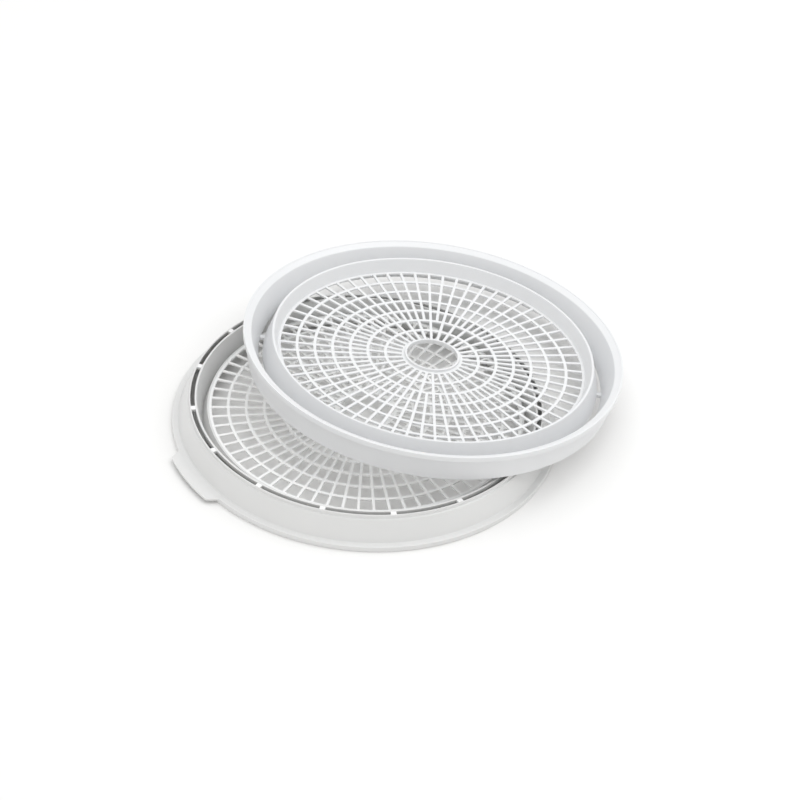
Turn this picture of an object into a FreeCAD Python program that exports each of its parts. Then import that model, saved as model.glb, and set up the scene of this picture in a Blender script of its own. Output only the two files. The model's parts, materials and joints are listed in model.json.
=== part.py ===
"""Two round stacking trays of a food dehydrator, one leaning on the other.

Frame: millimetres, +Z up, the origin at the centre of the lower tray's rim, on the surface it
stands on. Each tray is drawn in its own frame, the way it is used: narrow end down at z = 0,
wide stepped rim up. The lower tray is then turned upside down, and the upper tray is laid
over it, off centre and tilted.
"""
import FreeCAD, Part
import os
import re
import Sketcher

Vector = FreeCAD.Vector

# Driving dimensions: millimetres, degrees and counts.
SIZES = {
    "rim_radius": 171.45,            # outside of the stepped rim: a 13.5 inch tray
    "tray_height": 27.75,
    "rim_step": 5.0,                 # height of the stepped rim
    "sheet": 1.8,                    # thickness of the moulded walls
    "flare_top_drop": 0.35,          # the flare inside the rim: its ends, below the rim's edge
    "flare_foot_drop": 2.75,
    "wall_radius": 165.8,            # outside of the wall, just under the stepped rim
    "slot_outer": 155.5,             # the ring of air slots at the narrow end
    "slot_inner": 151.8,
    "slot_depth": 3.3,
    "lip_radius": 156.5,             # thin lip around the slots
    "lip_height": 3.4,
    "shoulder_radius": 158.0,        # lower tray: the narrow end of its sloping wall
    "shoulder_rise": 4.1,
    "skirt_radius": 165.2,           # upper tray: foot of the upright skirt
    "skirt_gap_top": 17.0,           # upper tray: how far the gap behind the skirt goes up
    "cone_foot": 158.0,
    "bridge_width": 5.0,
    "bridge_count": 16,
    "crest_outer": 145.4,            # hollow crest between the slots and the grid
    "crest_inner": 143.4,
    "crest_height": 24.6,
    "ring_foot": 138.9,              # where the wall around the food meets the grid
    "ring_foot_width": 1.6,
    "grid_base": 11.0,
    "grid_thickness": 2.0,
    "bar_drop": 0.2,                 # the ring bars are this much thinner on each face
    "first_bar": 26.25,              # middle of the innermost ring bar
    "bar_pitch": 15.95,
    "bar_width": 2.8,
    "spoke_width": 2.6,
    "ring_bars": 8,
    "spoke_count": 32,               # long spokes, with as many short ones between them
    "short_spoke_bar": 2,            # the short spokes start at this ring bar, counted from 0
    "hub_inner": 22.95,
    "hub_height": 4.3,
    "tab_radius": 180.2,
    "tab_thickness": 2.2,
    "tab_half_outer": 9.6,           # half angles of the tab's outer edge and of its root
    "tab_half_root": 12.6,
    "lower_turn": 147.06,            # azimuth of one slot bridge and one spoke
    "tab_turn": 214.56,              # azimuth of the tab's middle, which is on a slot bridge too
    "upper_turn": 3.27,              # azimuth of one spoke
    "upper_bridge_turn": 18.9,       # azimuth of one slot bridge
    "upper_x": 54.0,                 # centre of the upper tray's narrow end
    "upper_y": 54.4,
    "upper_z": 26.2,
    "upper_tilt": 5.02,
    "upper_downhill": 44.0,          # azimuth that the upper tray slopes down to
}

doc = FreeCAD.newDocument("dehydrator_trays")
sheet = doc.addObject("Spreadsheet::Sheet", "Sizes")
for row, (alias, value) in enumerate(SIZES.items(), start=1):
    sheet.set(f"A{row}", str(value))
    sheet.setAlias(f"A{row}", alias)
doc.recompute()


def bind(text):
    """An expression of plain aliases, in the form that the document's expressions need."""
    return re.sub(r"[a-z_]{4,}", lambda word: "Sizes." + word.group(), text)


def value(text):
    """What such an expression comes to now."""
    return float(sheet.evalExpression(bind(text)))


def new_body(label):
    body = doc.addObject("PartDesign::Body", label)
    body.Label = label
    body.AllowCompound = True
    return body


def new_sketch(body, name, plane, height="0", turn="0"):
    """A sketch on one of the body's own origin planes, raised and turned by expressions."""
    sketch = body.newObject("Sketcher::SketchObject", name)
    origin_plane = next(item for item in body.Origin.OriginFeatures if item.Role == plane)
    sketch.AttachmentSupport = [(origin_plane, "")]
    sketch.MapMode = "FlatFace"
    rotation = FreeCAD.Rotation(Vector(0, 0, 1), value(turn))
    sketch.AttachmentOffset = FreeCAD.Placement(Vector(0, 0, value(height)), rotation)
    if height != "0":
        sketch.setExpression("AttachmentOffset.Base.z", bind(height))
    if turn != "0":
        sketch.setExpression("AttachmentOffset.Rotation.Angle", bind(turn))
    return sketch


def dimension(sketch, kind, *where):
    """A dimension whose last argument is an expression; a zero holds the point on the axis."""
    text = where[-1]
    if text == "0":
        axis = {"DistanceX": -2, "DistanceY": -1}[kind]
        sketch.addConstraint(Sketcher.Constraint("PointOnObject", *where[2:-1], axis))
        return
    number = sketch.addConstraint(Sketcher.Constraint(kind, *where[:-1], value(text)))
    sketch.setExpression(f"Constraints[{number}]", bind(text))


def polygon(sketch, corners):
    """Straight sides through (across, up) expressions, each corner dimensioned from the origin."""
    points = [Vector(value(across), value(up), 0) for across, up in corners]
    for index, point in enumerate(points):
        following = points[(index + 1) % len(points)]
        sketch.addGeometry(Part.LineSegment(point, following), False)
    for index, (across, up) in enumerate(corners):
        following = (index + 1) % len(corners)
        sketch.addConstraint(Sketcher.Constraint("Coincident", index, 2, following, 1))
        dimension(sketch, "DistanceX", -1, 1, index, 1, across)
        dimension(sketch, "DistanceY", -1, 1, index, 1, up)


def circle(sketch, radius):
    shape = Part.Circle(Vector(0, 0, 0), Vector(0, 0, 1), value(radius))
    index = sketch.addGeometry(shape, False)
    sketch.addConstraint(Sketcher.Constraint("Coincident", index, 3, -1, 1))
    dimension(sketch, "Radius", index, radius)


def ring_piece(sketch, inner, outer, inner_half, outer_half):
    """A piece of a ring about +X, between two arcs, with its half width at each arc."""
    ends = []
    for radius, half in ((inner, inner_half), (outer, outer_half)):
        across = (value(radius) ** 2 - value(half) ** 2) ** 0.5
        ends.append((Vector(across, -value(half), 0), Vector(across, value(half), 0)))
        middle = Vector(value(radius), 0, 0)
        arc = Part.Arc(ends[-1][0], middle, ends[-1][1])
        index = sketch.addGeometry(arc, False)
        sketch.addConstraint(Sketcher.Constraint("Coincident", index, 3, -1, 1))
        dimension(sketch, "Radius", index, radius)
    for side in (0, 1):
        line = sketch.addGeometry(Part.LineSegment(ends[0][side], ends[1][side]), False)
        sketch.addConstraint(Sketcher.Constraint("Coincident", line, 1, 0, side + 1))
        sketch.addConstraint(Sketcher.Constraint("Coincident", line, 2, 1, side + 1))
    for arc, half in ((0, inner_half), (1, outer_half)):
        sketch.addConstraint(Sketcher.Constraint("Symmetric", arc, 1, arc, 2, -1))
        dimension(sketch, "DistanceY", -1, 1, arc, 2, half)


def turned(body, corners):
    """A ring turned about the tray's axis from an outline of (radius, height) corners."""
    sketch = new_sketch(body, body.Label + "_outline", "XZ_Plane")
    polygon(sketch, corners)
    turn = body.newObject("PartDesign::Revolution", body.Label + "_turn")
    turn.Profile = sketch
    turn.ReferenceAxis = (sketch, ["V_Axis"])
    turn.Angle = 360


def padded(body, sketch, length):
    pad = body.newObject("PartDesign::Pad", sketch.Label + "_pad")
    pad.Profile = sketch
    pad.Refine = False               # merging faces costs minutes on the grid and changes no shape
    pad.Length = value(length)
    pad.setExpression("Length", bind(length))
    return pad


def patterned(body, pad, count):
    """Copies of a pad, evenly spaced about the tray's axis."""
    pattern = body.newObject("PartDesign::PolarPattern", pad.Label + "_copies")
    pattern.Originals = [pad]
    pattern.Refine = False
    pattern.Axis = (pad.Profile[0], ["N_Axis"])
    pattern.Angle = 360
    pattern.Occurrences = int(value(count))
    pattern.setExpression("Occurrences", bind(count))
    body.Tip = pattern


STEP_UNDERSIDE = "tray_height - rim_step"
RIM_INSIDE = "rim_radius - sheet"
SKIRT_INSIDE = "skirt_radius - sheet"
CONE_TOP = "cone_foot + (skirt_radius - sheet - cone_foot) * (tray_height - rim_step) / skirt_gap_top"
CREST_MIDDLE = "crest_inner + sheet / 2"
CREST_UNDERSIDE = "crest_height - sheet"
RIM_OUTLINE = [
    ("rim_radius", STEP_UNDERSIDE),
    ("rim_radius", "tray_height"),
    (RIM_INSIDE, "tray_height"),
    (RIM_INSIDE, "tray_height - flare_top_drop"),
    ("wall_radius - sheet", "tray_height - flare_foot_drop"),
    ("slot_outer", "sheet"),
]


def sloping_wall(body):
    """The tabbed tray's wall: one sheet that slopes in from the rim to a thin lip."""
    foot = [
        ("slot_outer", "0"),
        ("lip_radius", "0"),
        ("lip_radius", "lip_height"),
        ("shoulder_radius", "shoulder_rise"),
        ("wall_radius", STEP_UNDERSIDE),
    ]
    turned(body, foot + RIM_OUTLINE)


def skirted_wall(body):
    """The plain tray's wall: it slopes evenly from the slots up to the rim."""
    turned(body, [("slot_outer", "0"), ("cone_foot", "0"), (CONE_TOP, STEP_UNDERSIDE)] + RIM_OUTLINE)


def skirt(body):
    """The upright ring that hides the plain tray's sloping wall from outside."""
    turned(body, [
        (SKIRT_INSIDE, "0"),
        ("skirt_radius", "0"),
        ("wall_radius", STEP_UNDERSIDE),
        (CONE_TOP, STEP_UNDERSIDE),
        (SKIRT_INSIDE, "skirt_gap_top"),
    ])


def lift_tab(body):
    """The flat tab that the fingers lift the tray by, level with the rim's step."""
    sketch = new_sketch(body, body.Label + "_outline", "XY_Plane", STEP_UNDERSIDE)
    root_half = "rim_radius * sin(tab_half_root)"
    edge_half = "tab_radius * sin(tab_half_outer)"
    ring_piece(sketch, "rim_radius", "tab_radius", root_half, edge_half)
    padded(body, sketch, "tab_thickness")


def slot_bridges(body):
    """The short ribs across the ring of slots: they hold the outer wall to the crest."""
    sketch = new_sketch(body, body.Label + "_outline", "XY_Plane")
    half = "bridge_width / 2"
    ring_piece(sketch, "slot_inner", "slot_outer", half, half)
    patterned(body, padded(body, sketch, "slot_depth"), "bridge_count")


def channel_wall(body):
    """The slots' inner wall, which slopes up to the middle of the hollow crest."""
    turned(body, [
        ("slot_inner", "0"),
        ("slot_inner", "slot_depth"),
        ("crest_outer", "crest_height"),
        (CREST_MIDDLE, "crest_height"),
        (CREST_MIDDLE, CREST_UNDERSIDE),
        ("slot_inner - sheet", "0"),
    ])


def bed_wall(body):
    """The wall around the food, which slopes down from the crest to the grid."""
    turned(body, [
        (CREST_MIDDLE, "crest_height"),
        ("crest_inner", "crest_height"),
        ("ring_foot", "grid_base + grid_thickness"),
        ("ring_foot", "grid_base"),
        ("ring_foot + ring_foot_width", "grid_base"),
        (CREST_MIDDLE, CREST_UNDERSIDE),
    ])


def food_grid(body):
    """The screen that food lies on: ring bars, long spokes, and short spokes between them."""
    rings = new_sketch(body, body.Label + "_rings", "XY_Plane", "grid_base + bar_drop")
    count = int(value("ring_bars"))
    for bar in range(count):
        middle = f"first_bar + {bar} * bar_pitch"
        circle(rings, middle + " - bar_width / 2")
        circle(rings, "ring_foot" if bar == count - 1 else middle + " + bar_width / 2")
    padded(body, rings, "grid_thickness - 2 * bar_drop")
    outer_end = "first_bar + (ring_bars - 1) * bar_pitch"
    short_start = "first_bar + short_spoke_bar * bar_pitch"
    spokes = (("long", "first_bar", "0"), ("short", short_start, "180 / spoke_count"))
    for name, start, turn in spokes:
        spoke = new_sketch(body, f"{body.Label}_{name}_spoke", "XY_Plane", "grid_base", turn)
        polygon(spoke, [
            (start, "-spoke_width / 2"),
            (outer_end, "-spoke_width / 2"),
            (outer_end, "spoke_width / 2"),
            (start, "spoke_width / 2"),
        ])
        patterned(body, padded(body, spoke, "grid_thickness"), "spoke_count")


def centre_collar(body):
    """The raised rim around the round hole in the middle of the grid."""
    outside = "first_bar - bar_width / 2"
    turned(body, [
        ("hub_inner", "grid_base"),
        (outside, "grid_base"),
        (outside, "grid_base + hub_height"),
        ("hub_inner", "grid_base + hub_height"),
    ])


def turned_about_z(degrees):
    return FreeCAD.Placement(Vector(0, 0, 0), FreeCAD.Rotation(Vector(0, 0, 1), degrees))


upside_down = FreeCAD.Rotation(Vector(1, 0, 0), 180)
lower_place = FreeCAD.Placement(Vector(0, 0, value("tray_height")), upside_down)
downhill = turned_about_z(value("upper_downhill")).Rotation
tilt = FreeCAD.Rotation(downhill.multVec(Vector(0, 1, 0)), value("upper_tilt"))
upper_centre = Vector(value("upper_x"), value("upper_y"), value("upper_z"))
upper_place = FreeCAD.Placement(upper_centre, tilt)

# name, builder, place of its tray, turn within the tray
lower_turn = -value("lower_turn")
PIECES = [
    ("lower_outer_wall", sloping_wall, lower_place, 0),
    ("lower_lift_tab", lift_tab, lower_place, -value("tab_turn")),
    ("lower_slot_bridges", slot_bridges, lower_place, lower_turn),
    ("lower_channel_wall", channel_wall, lower_place, 0),
    ("lower_bed_wall", bed_wall, lower_place, 0),
    ("lower_food_grid", food_grid, lower_place, lower_turn),
    ("lower_centre_collar", centre_collar, lower_place, 0),
    ("upper_outer_wall", skirted_wall, upper_place, 0),
    ("upper_skirt", skirt, upper_place, 0),
    ("upper_slot_bridges", slot_bridges, upper_place, value("upper_bridge_turn")),
    ("upper_channel_wall", channel_wall, upper_place, 0),
    ("upper_bed_wall", bed_wall, upper_place, 0),
    ("upper_food_grid", food_grid, upper_place, value("upper_turn")),
    ("upper_centre_collar", centre_collar, upper_place, 0),
]
bodies = []
for name, build, place, turn in PIECES:
    body = new_body(name)
    build(body)
    body.Placement = place.multiply(turned_about_z(turn))
    bodies.append(body)
doc.recompute()

for item in doc.Objects:
    if "Invalid" in item.State or "Error" in item.State:
        raise RuntimeError(f"{item.Label}: {item.State}")
os.makedirs("parts", exist_ok=True)
for body in bodies:
    if body.Shape.isNull() or not body.Shape.isValid():
        raise RuntimeError(f"{body.Label} has no valid shape")
    print(body.Label, len(body.Shape.Solids), "solids", round(body.Shape.Volume / 1000, 2), "cm3")
    body.Shape.exportStep(f"parts/{body.Label}.step")
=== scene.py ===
"""The looks of two white stacking trays of a food dehydrator, built around their CAD model.

Metres, in the row frame. A tray's pieces are made in the tray's own frame, narrow end down at z = 0
and wide rim up, and its matrix then places them. Both trays share their sizes. Some are measured
on the CAD nodes, and the rest are named below.
"""
import json
import math

import bmesh
import bpy
from mathutils import Matrix, Vector


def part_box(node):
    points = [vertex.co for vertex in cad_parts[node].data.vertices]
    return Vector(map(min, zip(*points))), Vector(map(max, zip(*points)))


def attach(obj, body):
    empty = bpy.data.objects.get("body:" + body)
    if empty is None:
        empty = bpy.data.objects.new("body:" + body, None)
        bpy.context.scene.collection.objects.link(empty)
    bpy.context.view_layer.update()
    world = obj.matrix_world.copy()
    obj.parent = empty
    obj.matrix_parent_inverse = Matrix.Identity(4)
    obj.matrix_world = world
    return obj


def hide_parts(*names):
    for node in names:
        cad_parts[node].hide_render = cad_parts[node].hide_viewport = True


MM = 0.001
AROUND = 360                  # steps around a turned ring
CORNER_STEPS = 5              # steps along a rounded corner
ARC_PARTS = 3                 # parts of a ring bar's edge between two spokes
TAB_STEPS = 96                # steps along the tab's edge
CORNER_SHARE = 0.45           # the most of an outline's side that one rounded corner may take

# Sizes of the mouldings that no CAD node gives on its own.
SHEET = 1.8 * MM
FLARE_TOP_DROP = 0.35 * MM     # the flare inside the rim: its ends, below the rim's edge
FLARE_FOOT_DROP = 2.75 * MM
LIP_RADIUS = 156.5 * MM
LIP_HEIGHT = 3.4 * MM
SHOULDER_RADIUS = 158.0 * MM
SHOULDER_RISE = 4.1 * MM
CONE_FOOT = 158.0 * MM
SKIRT_GAP_TOP = 17.0 * MM
CREST_INNER = 143.4 * MM
CREST_OUTER = 145.4 * MM
FOOT_WIDTH = 1.6 * MM
FIRST_BAR = 26.25 * MM
BAR_PITCH = 15.95 * MM
BAR_WIDTH = 2.8 * MM
BARS = 8
SPOKE_WIDTH = 2.6 * MM
LONG_SPOKES = 32
ALL_SPOKES = 64
SHORT_SPOKE_BAR = 2           # the short spokes start at this ring bar, counted from 0
BRIDGES = 16
BRIDGE_WIDTH = 5.0 * MM
TAB_HALF_OUTER = math.radians(9.6)
TAB_HALF_ROOT = math.radians(12.6)
UPPER_GRID_TURN = math.radians(3.27)    # azimuth of one spoke of the upper tray
EDGE = 0.45 * MM              # how far the edges of bars, bridges and tab are rounded
EDGE_STEPS = 3
SHARP_ANGLE = math.radians(35)    # edges that turn by more than this are rounded
FLOOR_GAP = 0.1 * MM          # keeps the floor clear of the rim that stands on it
FLUSH = 0.02 * MM             # step between faces of two pieces that would otherwise coincide
BRIDGE_CLEAR = 0.16 * MM      # a bridge's underside stays this far above the tray's end
ROOTED = 0.4 * MM             # how far a piece runs into the piece that it grows from

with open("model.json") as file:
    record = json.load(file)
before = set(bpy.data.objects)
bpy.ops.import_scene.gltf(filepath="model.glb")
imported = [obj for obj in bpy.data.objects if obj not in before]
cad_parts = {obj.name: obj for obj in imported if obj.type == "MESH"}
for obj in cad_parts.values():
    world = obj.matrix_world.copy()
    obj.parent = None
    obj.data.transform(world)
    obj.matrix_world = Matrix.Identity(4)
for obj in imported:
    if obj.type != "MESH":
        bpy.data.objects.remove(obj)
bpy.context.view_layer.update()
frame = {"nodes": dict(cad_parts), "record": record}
mounts = {mount["name"]: mount for mount in frame["record"]["mounts"]}


# The two trays' places, and the sizes measured on the CAD nodes.

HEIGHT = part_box("lower_outer_wall")[1].z
COLLAR_MIDDLE = HEIGHT - mounts["lower_centre_hole"]["pos_m"][2]


def upper_tray_matrix():
    """Its centre hole gives the tilted tray's axis and its middle."""
    hole = mounts["upper_centre_hole"]
    axis = Vector(hole["axis"]).normalized()
    middle = Vector(hole["pos_m"]) - axis * COLLAR_MIDDLE
    return Matrix.Translation(middle) @ Vector((0, 0, 1)).rotation_difference(axis).to_matrix().to_4x4()


PLACES = {
    "lower": Matrix.Translation((0, 0, HEIGHT)) @ Matrix.Rotation(math.pi, 4, "X"),
    "upper": upper_tray_matrix(),
}


def tray_points(node):
    """The points of a CAD node in its own tray's frame."""
    back = PLACES[node.split("_")[0]].inverted()
    return [back @ vertex.co for vertex in frame["nodes"][node].data.vertices]


def ring_sizes(node):
    """Inside radius, outside radius, foot and top of a CAD node in its tray's frame."""
    points = tray_points(node)
    radii = [point.xy.length for point in points]
    heights = [point.z for point in points]
    return min(radii), max(radii), min(heights), max(heights)


def pattern_turn(node, count):
    """The angle that a CAD node's copies around the tray's axis are turned by."""
    turns = [math.atan2(point.y, point.x) * count for point in tray_points(node)]
    return math.atan2(sum(map(math.sin, turns)), sum(map(math.cos, turns))) / count


SLOT_OUTER, RIM_RADIUS, _, _ = ring_sizes("lower_outer_wall")
_, SLOT_INNER, _, CREST_HEIGHT = ring_sizes("lower_channel_wall")
RING_FOOT, _, GRID_FOOT, _ = ring_sizes("lower_bed_wall")
HUB_INNER, HUB_OUTER, _, HUB_TOP = ring_sizes("lower_centre_collar")
_, _, _, GRID_TOP = ring_sizes("lower_food_grid")
_, _, _, SLOT_DEPTH = ring_sizes("lower_slot_bridges")
_, TAB_RADIUS, STEP_FOOT, TAB_TOP = ring_sizes("lower_lift_tab")
SKIRT_INSIDE, WALL_RADIUS, _, _ = ring_sizes("upper_skirt")
RIM_INSIDE = RIM_RADIUS - SHEET
SKIRT_RADIUS = SKIRT_INSIDE + SHEET
CREST_MIDDLE = CREST_INNER + SHEET / 2


# Materials

CLOUD_SCALE = 22.0            # noise cells per metre: clouding, rubbed patches, ripples and grain
RUBBED_SCALE = 60.0
RIPPLE_SCALE = 420.0
GRAIN_SCALE = 2400.0
RIPPLE_HEIGHT = 0.012 * MM
GRAIN_HEIGHT = 0.008 * MM
ROUGHNESS = 0.30              # lower values showed hard-edged patches on the walls
ROUGHNESS_SPREAD = 0.06
PLASTIC_IOR = 1.5
GLOW_WEIGHT = 0.15            # light scattered inside the plastic
GLOW_TINT = (1.0, 0.95, 0.9)
GLOW_SCALE = 2.0 * MM


class Nodes:
    """A material's node tree, with short calls to add nodes and join them."""

    def __init__(self, name):
        self.material = bpy.data.materials.new(name)
        self.material.use_nodes = True
        self.tree = self.material.node_tree
        self.surface = self.tree.nodes["Principled BSDF"]

    def add(self, kind, **inputs):
        node = self.tree.nodes.new("ShaderNode" + kind)
        for key, given in inputs.items():
            self.put(node.inputs[key.replace("_", " ")], given)
        return node

    def put(self, socket, given):
        if isinstance(given, bpy.types.NodeSocket):
            self.tree.links.new(given, socket)
        else:
            socket.default_value = given

    def noise(self, vector, scale, detail=2.0):
        return self.add("TexNoise", Vector=vector, Scale=scale, Detail=detail).outputs["Fac"]

    def span(self, source, low, high):
        """A noise's middle range stretched over low to high."""
        node = self.add("MapRange", Value=source)
        for name, given in (("From Min", 0.3), ("From Max", 0.7), ("To Min", low), ("To Max", high)):
            node.inputs[name].default_value = given
        return node.outputs["Result"]

    def bump(self, height, distance, normal=None):
        node = self.add("Bump", Height=height, Distance=distance, Strength=1.0)
        if normal:
            self.put(node.inputs["Normal"], normal)
        return node.outputs["Normal"]


def moulded_plastic(tray, name, tint, shade):
    """White moulded plastic: faint clouding, ripples round the axis, fine grain and rubbed patches."""
    made = Nodes(f"{tray}_{name}")
    place = PLACES[tray]
    mapping = made.add("Mapping", Location=place.translation, Rotation=place.to_euler())
    mapping.vector_type = "TEXTURE"
    made.put(mapping.inputs["Vector"], made.add("TexCoord").outputs["Object"])
    spot = mapping.outputs["Vector"]
    clouds = made.span(made.noise(spot, CLOUD_SCALE, 3.0), 0.0, 1.0)
    colour = made.add("Mix", Factor=clouds)
    colour.data_type = "RGBA"
    made.put(colour.inputs[6], (*tint, 1.0))
    made.put(colour.inputs[7], (*shade, 1.0))
    made.put(made.surface.inputs["Base Color"], colour.outputs[2])

    patches = made.noise(spot, RUBBED_SCALE, 4.0)
    rubbed = made.span(patches, ROUGHNESS, ROUGHNESS + ROUGHNESS_SPREAD)
    made.put(made.surface.inputs["Roughness"], rubbed)

    parts = made.add("SeparateXYZ", Vector=spot)
    flat = made.add("CombineXYZ", X=parts.outputs["X"], Y=parts.outputs["Y"])
    length = made.add("VectorMath", Vector=flat.outputs["Vector"])
    length.operation = "LENGTH"
    section = made.add("CombineXYZ", X=length.outputs["Value"], Y=parts.outputs["Z"])
    ripples = made.noise(section.outputs["Vector"], RIPPLE_SCALE, 1.0)
    grain = made.noise(spot, GRAIN_SCALE, 1.0)
    normal = made.bump(ripples, RIPPLE_HEIGHT)
    made.put(made.surface.inputs["Normal"], made.bump(grain, GRAIN_HEIGHT, normal))

    made.surface.inputs["IOR"].default_value = PLASTIC_IOR
    made.surface.inputs["Subsurface Weight"].default_value = GLOW_WEIGHT
    made.surface.inputs["Subsurface Radius"].default_value = GLOW_TINT
    made.surface.inputs["Subsurface Scale"].default_value = GLOW_SCALE
    return made.material


# Mesh building, in a tray's own frame

def rounded(corners):
    """Points of a closed outline whose corners (radius, height, cut) are rounded off."""
    points = []
    for index, (across, up, cut) in enumerate(corners):
        corner = Vector((across, up))
        before = Vector(corners[index - 1][:2]) - corner
        after = Vector(corners[(index + 1) % len(corners)][:2]) - corner
        reach = min(cut, CORNER_SHARE * before.length, CORNER_SHARE * after.length)
        start = corner + before.normalized() * reach
        end = corner + after.normalized() * reach
        for step in range(CORNER_STEPS + 1):
            part = step / CORNER_STEPS
            points.append(start.lerp(corner, part).lerp(corner.lerp(end, part), part))
    return points


def turned_ring(corners):
    """A mesh turned about the tray's axis from an outline."""
    mesh = bmesh.new()
    outline = rounded(corners)
    rows = []
    for step in range(AROUND):
        cos, sin = math.cos(math.tau * step / AROUND), math.sin(math.tau * step / AROUND)
        rows.append([mesh.verts.new((point.x * cos, point.x * sin, point.y)) for point in outline])
    for row, following in zip(rows, rows[1:] + rows[:1]):
        for index in range(len(outline)):
            mesh.faces.new((row[index - 1], row[index], following[index], following[index - 1]))
    return mesh


def polar(radius, angle, height):
    return radius * math.cos(angle), radius * math.sin(angle), height


def spoked_circle(mesh, radius, spokes, turn):
    """Points around a circle: both sides of every spoke, and points between the spokes."""
    half = math.asin(SPOKE_WIDTH / 2 / radius)
    pitch = math.tau / spokes
    points = []
    for spoke in range(spokes):
        start = turn + spoke * pitch
        points.append(mesh.verts.new(polar(radius, start - half, GRID_TOP)))
        for part in range(ARC_PARTS):
            angle = start + half + (pitch - 2 * half) * part / ARC_PARTS
            points.append(mesh.verts.new(polar(radius, angle, GRID_TOP)))
    return points


def grid_sheet(turn):
    """The grid's top face: ring bars joined by spokes, the short ones only in its outer part."""
    mesh = bmesh.new()
    outside = []
    for bar in range(BARS):
        middle = FIRST_BAR + bar * BAR_PITCH
        inner = HUB_INNER + ROOTED if bar == 0 else middle - BAR_WIDTH / 2
        outer = RING_FOOT + 2 * ROOTED if bar == BARS - 1 else middle + BAR_WIDTH / 2
        spokes = ALL_SPOKES if bar >= SHORT_SPOKE_BAR else LONG_SPOKES
        near = spoked_circle(mesh, inner, spokes, turn)
        far = spoked_circle(mesh, outer, spokes, turn)
        for index in range(len(near)):
            mesh.faces.new((near[index - 1], near[index], far[index], far[index - 1]))
        if outside:
            join_spokes(mesh, outside, near)
        outside = far
    return mesh


def join_spokes(mesh, inside, outside):
    """A face for each spoke between two circles; the outer one may have twice the spokes."""
    stride = len(outside) // len(inside) * (ARC_PARTS + 1)
    for spoke in range(len(inside) // (ARC_PARTS + 1)):
        near, far = spoke * (ARC_PARTS + 1), spoke * stride
        mesh.faces.new((inside[near], inside[near + 1], outside[far + 1], outside[far]))


def bridge_sheets(turn):
    """The top faces of the ribs across the slots, each rooted in both walls."""
    mesh = bmesh.new()
    inner, outer = SLOT_INNER - ROOTED, SLOT_OUTER + ROOTED
    for bridge in range(BRIDGES):
        spin = Matrix.Rotation(turn + math.tau * bridge / BRIDGES, 3, "Z")
        corners = [(inner, -1), (outer, -1), (outer, 1), (inner, 1)]
        mesh.faces.new([
            mesh.verts.new(spin @ Vector((radius, side * BRIDGE_WIDTH / 2, SLOT_DEPTH)))
            for radius, side in corners
        ])
    return mesh


def tab_sheet(turn):
    """The tab's face: it swells smoothly out of the rim and back."""
    mesh = bmesh.new()
    rows = []
    for step in range(TAB_STEPS + 1):
        angle = TAB_HALF_ROOT * (2 * step / TAB_STEPS - 1)
        rise = min(1.0, (TAB_HALF_ROOT - abs(angle)) / (TAB_HALF_ROOT - TAB_HALF_OUTER))
        smooth = rise * rise * (3 - 2 * rise)
        reach = RIM_RADIUS + (TAB_RADIUS - RIM_RADIUS) * smooth
        inner = mesh.verts.new(polar(RIM_INSIDE + ROOTED, turn + angle, TAB_TOP))
        rows.append((inner, mesh.verts.new(polar(reach, turn + angle, TAB_TOP))))
    for row, following in zip(rows, rows[1:]):
        mesh.faces.new((row[0], row[1], following[1], following[0]))
    return mesh


def make_piece(name, mesh, material, replaced, thickness=None):
    """A finished piece on its tray; a flat sheet gets a thickness downwards and rounded edges."""
    tray = name.split("_")[0]
    bmesh.ops.recalc_face_normals(mesh, faces=mesh.faces)
    if thickness:
        for face in mesh.faces:
            if face.normal.z < 0:
                face.normal_flip()
    mesh.transform(PLACES[tray])
    data = bpy.data.meshes.new(name)
    mesh.to_mesh(data)
    mesh.free()
    data.shade_smooth()
    data.materials.append(material)
    piece = bpy.data.objects.new(name, data)
    bpy.context.scene.collection.objects.link(piece)
    if thickness:
        solid = piece.modifiers.new("thickness", "SOLIDIFY")
        solid.thickness = thickness
        solid.offset = -1
        edges = piece.modifiers.new("rounded_edges", "BEVEL")
        edges.width = EDGE
        edges.segments = EDGE_STEPS
        edges.limit_method = "ANGLE"
        edges.angle_limit = SHARP_ANGLE
    normals = piece.modifiers.new("flat_faces_stay_flat", "WEIGHTED_NORMAL")
    normals.keep_sharp = True
    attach(piece, tray + "_tray")
    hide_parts(*[tray + "_" + node for node in replaced])
    return piece


# The trays

SMALL = 0.35 * MM
SOFT = 0.8 * MM
RIM_CORNERS = [
    (RIM_RADIUS, STEP_FOOT, SOFT),
    (RIM_RADIUS, HEIGHT, SMALL),
    (RIM_INSIDE, HEIGHT, 0.1 * MM),
    (RIM_INSIDE, HEIGHT - FLARE_TOP_DROP, 0.1 * MM),
    (WALL_RADIUS - SHEET, HEIGHT - FLARE_FOOT_DROP, SOFT),
    (SLOT_OUTER, SHEET, SMALL),
    (SLOT_OUTER, 0, SMALL),
]
SLOPING_WALL = RIM_CORNERS + [
    (LIP_RADIUS, 0, SMALL),
    (LIP_RADIUS, LIP_HEIGHT, SMALL),
    (SHOULDER_RADIUS, SHOULDER_RISE, SMALL),
    (WALL_RADIUS, STEP_FOOT, SOFT),
]
SKIRTED_WALL = RIM_CORNERS + [
    (CONE_FOOT, 0, SMALL),
    (SKIRT_INSIDE, SKIRT_GAP_TOP, SOFT),
    (SKIRT_INSIDE, 0, SMALL),
    (SKIRT_RADIUS, 0, SMALL),
    (WALL_RADIUS, STEP_FOOT, SMALL),
]
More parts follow.
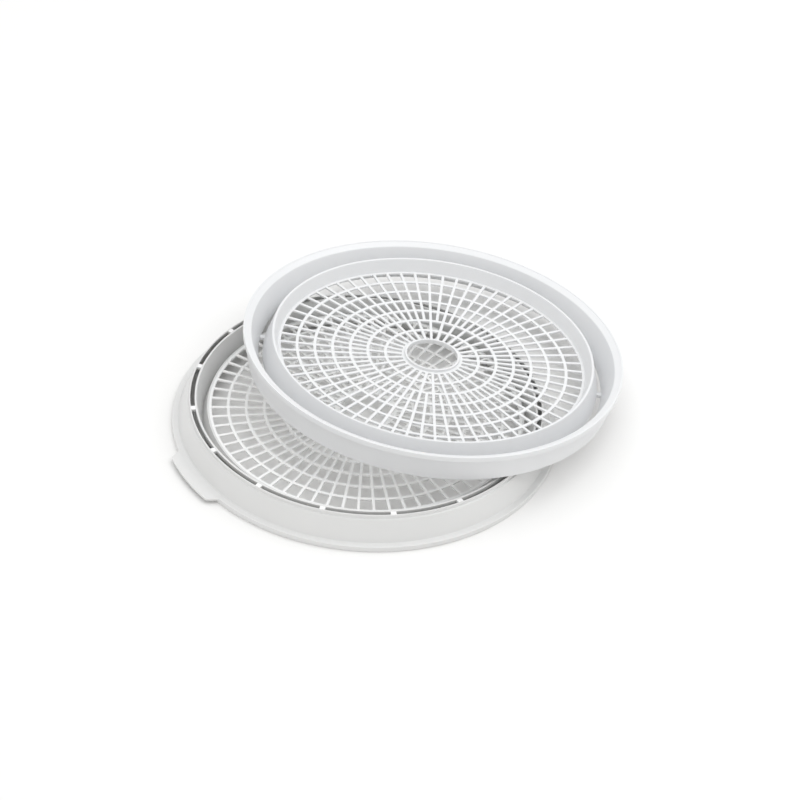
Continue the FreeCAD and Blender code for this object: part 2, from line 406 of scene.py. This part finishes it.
CREST = [
    (SLOT_INNER, 0, SMALL),
    (SLOT_INNER, SLOT_DEPTH, SMALL),
    (CREST_OUTER, CREST_HEIGHT, 0.8 * MM),
    (CREST_INNER, CREST_HEIGHT, 0.8 * MM),
    (RING_FOOT, GRID_TOP, SMALL),
    (RING_FOOT, GRID_FOOT - FLUSH, 0),
    (RING_FOOT + FOOT_WIDTH, GRID_FOOT - FLUSH, SMALL),
    (CREST_MIDDLE, CREST_HEIGHT - SHEET, SMALL),
    (SLOT_INNER - SHEET, 0, SMALL),
]
COLLAR = [
    (HUB_INNER, GRID_FOOT - FLUSH, SMALL),
    (HUB_OUTER, GRID_FOOT - FLUSH, 0),
    (HUB_OUTER, HUB_TOP, 0.6 * MM),
    (HUB_INNER, HUB_TOP, 0.6 * MM),
]


def make_tray(tray, wall, wall_nodes, grid_turn, wall_white, grid_white):
    bridge_turn = pattern_turn(tray + "_slot_bridges", BRIDGES)
    # The wall and crest take the copy of the plastic painted darker as shade; the grid, collar and
    # bridges take the copy painted lighter as light on their up-facing tops.
    make_piece(tray + "_wall", turned_ring(wall), wall_white, wall_nodes)
    make_piece(tray + "_crest", turned_ring(CREST), wall_white, ["channel_wall", "bed_wall"])
    make_piece(tray + "_grid", grid_sheet(grid_turn), grid_white, ["food_grid"], GRID_TOP - GRID_FOOT)
    make_piece(tray + "_collar", turned_ring(COLLAR), grid_white, ["centre_collar"])
    make_piece(tray + "_bridges", bridge_sheets(bridge_turn), grid_white, ["slot_bridges"],
               SLOT_DEPTH - BRIDGE_CLEAR)


# Four copies of one white plastic, each set to the brightness its part shows under the lights, which is
# painted light and shade. The grids, collars and bridges are painted lighter for the light on their
# up-facing tops. The walls, crests and tab are painted darker as shade, and the lower tray's walls and
# tab are painted darkest, for the shade under the upper tray.
lower_wall_shaded_white = moulded_plastic("lower", "wall_white", (0.725, 0.725, 0.717), (0.71, 0.71, 0.702))
lower_grid_lit_white = moulded_plastic("lower", "grid_white", (0.91, 0.91, 0.90), (0.895, 0.895, 0.885))
upper_wall_shaded_white = moulded_plastic("upper", "wall_white", (0.765, 0.77, 0.777), (0.75, 0.756, 0.764))
upper_grid_lit_white = moulded_plastic("upper", "grid_white", (0.785, 0.79, 0.795), (0.77, 0.775, 0.78))
lower_turn = pattern_turn("lower_slot_bridges", BRIDGES)
make_tray("lower", SLOPING_WALL, ["outer_wall"], lower_turn, lower_wall_shaded_white, lower_grid_lit_white)
make_tray("upper", SKIRTED_WALL, ["outer_wall", "skirt"], UPPER_GRID_TURN, upper_wall_shaded_white,
          upper_grid_lit_white)
tab_turn = pattern_turn("lower_lift_tab", 1)
make_piece("lower_tab", tab_sheet(tab_turn), lower_wall_shaded_white, ["lift_tab"], TAB_TOP - STEP_FOOT - FLUSH)


# The studio: floor, lights and camera

FLOOR_HALF = 6.0
FLOOR_WHITE = (0.87, 0.865, 0.855, 1)
SKY_STRENGTH = 0.78
MIDDLE = (0.03, 0.03, 0)      # what the lights point at
SOFTBOXES = [                 # name, place, width, watts, colour
    ("overhead", (0.2, 0.1, 2.0), 3.0, 14, (0.95, 0.975, 1)),
    ("key", (-0.7, 1.0, 1.6), 1.6, 3, (1, 1, 1)),
    ("fill", (-0.7, -1.6, 0.8), 1.6, 3, (1, 0.99, 0.97)),
    ("side", (1.1, 0.5, 1.4), 1.6, 7.5, (1, 1, 1)),
]
VIEW_ELEVATION = math.radians(38.34)
VIEW_ROLL = math.radians(4.79)
VIEW_DISTANCE = 2.2904
VIEW_RIGHT = 0.0294           # how far the camera is moved sideways and up across its view
VIEW_UP = 0.02325
LENS = 115.7
SENSOR = 36


def make_floor():
    mesh = bmesh.new()
    bmesh.ops.create_grid(mesh, x_segments=1, y_segments=1, size=FLOOR_HALF)
    data = bpy.data.meshes.new("floor")
    mesh.to_mesh(data)
    mesh.free()
    floor = bpy.data.objects.new("floor", data)
    bpy.context.scene.collection.objects.link(floor)
    made = Nodes("floor_white")
    made.surface.inputs["Base Color"].default_value = FLOOR_WHITE
    made.surface.inputs["Roughness"].default_value = 0.6
    made.surface.inputs["Specular IOR Level"].default_value = 0.2
    data.materials.append(made.material)
    floor.location.z = -FLOOR_GAP


def softbox(name, place, width, watts, colour):
    light = bpy.data.lights.new(name, "AREA")
    light.shape = "DISK"
    light.size = width
    light.energy = watts
    light.color = colour
    box = bpy.data.objects.new(name, light)
    box.location = place
    box.rotation_euler = (Vector(MIDDLE) - Vector(place)).to_track_quat("-Z", "Y").to_euler()
    bpy.context.scene.collection.objects.link(box)


def make_sky():
    world = bpy.data.worlds.new("studio")
    world.use_nodes = True
    world.node_tree.nodes["Background"].inputs["Color"].default_value = (1, 1, 1, 1)
    world.node_tree.nodes["Background"].inputs["Strength"].default_value = SKY_STRENGTH
    bpy.context.scene.world = world


def make_camera():
    """A long lens looking down at the trays, turned a little about its own axis."""
    back = Vector((0, -math.cos(VIEW_ELEVATION), math.sin(VIEW_ELEVATION)))
    right = Vector((1, 0, 0))
    up = back.cross(right)
    place = back * VIEW_DISTANCE + right * VIEW_RIGHT + up * VIEW_UP
    rolled_right = right * math.cos(VIEW_ROLL) + up * math.sin(VIEW_ROLL)
    rolled_up = back.cross(rolled_right)
    lens = bpy.data.cameras.new("camera")
    lens.lens = LENS
    lens.sensor_width = SENSOR
    camera = bpy.data.objects.new("camera", lens)
    turn = Matrix((rolled_right, rolled_up, back)).transposed().to_4x4()
    camera.matrix_world = Matrix.Translation(place) @ turn
    bpy.context.scene.collection.objects.link(camera)
    bpy.context.scene.camera = camera


make_floor()
make_sky()
for softbox_sizes in SOFTBOXES:
    softbox(*softbox_sizes)
make_camera()
bpy.context.scene.view_settings.view_transform = "Standard"
